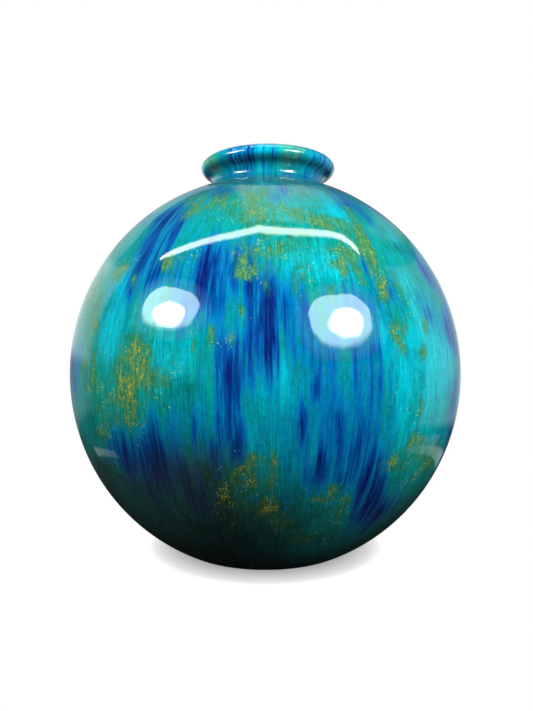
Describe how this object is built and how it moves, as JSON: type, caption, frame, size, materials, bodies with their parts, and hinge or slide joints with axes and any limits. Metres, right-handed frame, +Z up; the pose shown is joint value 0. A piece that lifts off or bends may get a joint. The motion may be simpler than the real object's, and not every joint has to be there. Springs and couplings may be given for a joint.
{
  "type": "glass vase",
  "caption": "Globe-shaped cased glass vase with a short neck, a rolled collar and a flat ground base, for cut or dried flowers.",
  "frame": {"origin": "centre of the base, on the surface the vase stands on", "axes": "+Z up along the vase's axis; the front faces -Y"},
  "size_m": [0.21, 0.21, 0.2127],
  "materials": {
    "clear_glass": "fire polished, clear and glossy",
    "turquoise_glass": "opaque turquoise glass with drawn streaks, glossy",
    "opal_glass": "opal glass, glossy",
    "cobalt_glass": "deep cobalt glass, feathered streaks",
    "aventurine_glass": "green and gold glass with metallic grains"
  },
  "bodies": {
    "root": {"aventurine_patch_back_left": "aventurine_glass", "aventurine_patch_back_right": "aventurine_glass", "aventurine_patch_left": "aventurine_glass", "aventurine_patch_left_side": "aventurine_glass", "aventurine_patch_lower_centre": "aventurine_glass", "aventurine_patch_right": "aventurine_glass", "aventurine_patch_shoulder": "aventurine_glass", "aventurine_patch_upper_right": "aventurine_glass", "clear_casing": "clear_glass", "cobalt_streak_back_left": "cobalt_glass", "cobalt_streak_back_right": "cobalt_glass", "cobalt_streak_centre": "cobalt_glass", "cobalt_streak_left_side": "cobalt_glass", "cobalt_streak_lower_centre": "cobalt_glass", "cobalt_streak_lower_left": "cobalt_glass", "cobalt_streak_lower_right": "cobalt_glass", "cobalt_streak_right": "cobalt_glass", "cobalt_streak_right_side": "cobalt_glass", "cobalt_streak_upper_centre": "cobalt_glass", "cobalt_streak_upper_left": "cobalt_glass", "colour_layer": "turquoise_glass", "opal_lining": "opal_glass"}
  },
  "joints": []
}
